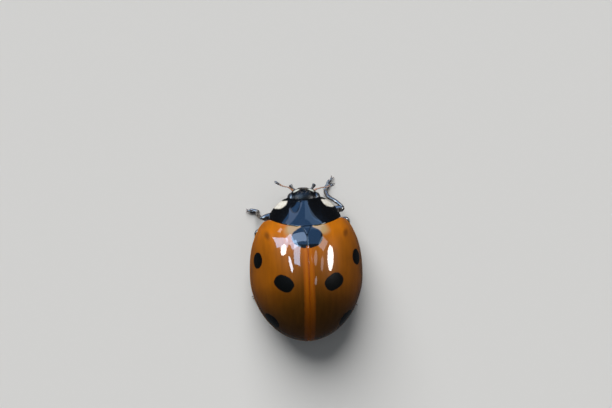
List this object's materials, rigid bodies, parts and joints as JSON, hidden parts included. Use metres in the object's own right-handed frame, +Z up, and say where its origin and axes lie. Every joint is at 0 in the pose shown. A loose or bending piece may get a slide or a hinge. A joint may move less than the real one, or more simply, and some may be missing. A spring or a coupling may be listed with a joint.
{
  "type": "seven-spot ladybird, still model",
  "caption": "Still life-size model of a standing ladybird: domed orange wing cases with black spots, black neck shield, head with feelers, and jointless legs.",
  "frame": {"origin": "on the floor, on the body's midline, midway between the front foot's tip and the rear of the wing cases", "axes": "+Z up, the head towards -Y, the animal's left side towards +X"},
  "size_m": [0.0056, 0.0081, 0.0039],
  "materials": {
    "wing_case": "gloss",
    "black_shell": "gloss",
    "eye": "satin",
    "underside": "satin",
    "leg": "satin",
    "feeler": "satin"
  },
  "bodies": {
    "root": {"head": "black_shell", "labrum": "black_shell", "eye_left": "eye", "eye_right": "eye", "antenna_left": "feeler", "antenna_right": "feeler", "palp_left": "leg", "palp_right": "leg", "pronotum": "black_shell", "prothorax": "underside", "scutellum": "black_shell", "elytron_left": "wing_case", "elytron_right": "wing_case", "thorax": "underside", "abdomen": "underside", "coxa_front_left": "leg", "femur_front_left": "leg", "tibia_front_left": "leg", "tarsus_front_left": "leg", "coxa_front_right": "leg", "femur_front_right": "leg", "tibia_front_right": "leg", "tarsus_front_right": "leg", "coxa_middle_left": "leg", "femur_middle_left": "leg", "tibia_middle_left": "leg", "tarsus_middle_left": "leg", "coxa_middle_right": "leg", "femur_middle_right": "leg", "tibia_middle_right": "leg", "tarsus_middle_right": "leg", "coxa_rear_left": "leg", "femur_rear_left": "leg", "tibia_rear_left": "leg", "tarsus_rear_left": "leg", "coxa_rear_right": "leg", "femur_rear_right": "leg", "tibia_rear_right": "leg", "tarsus_rear_right": "leg"}
  },
  "joints": []
}
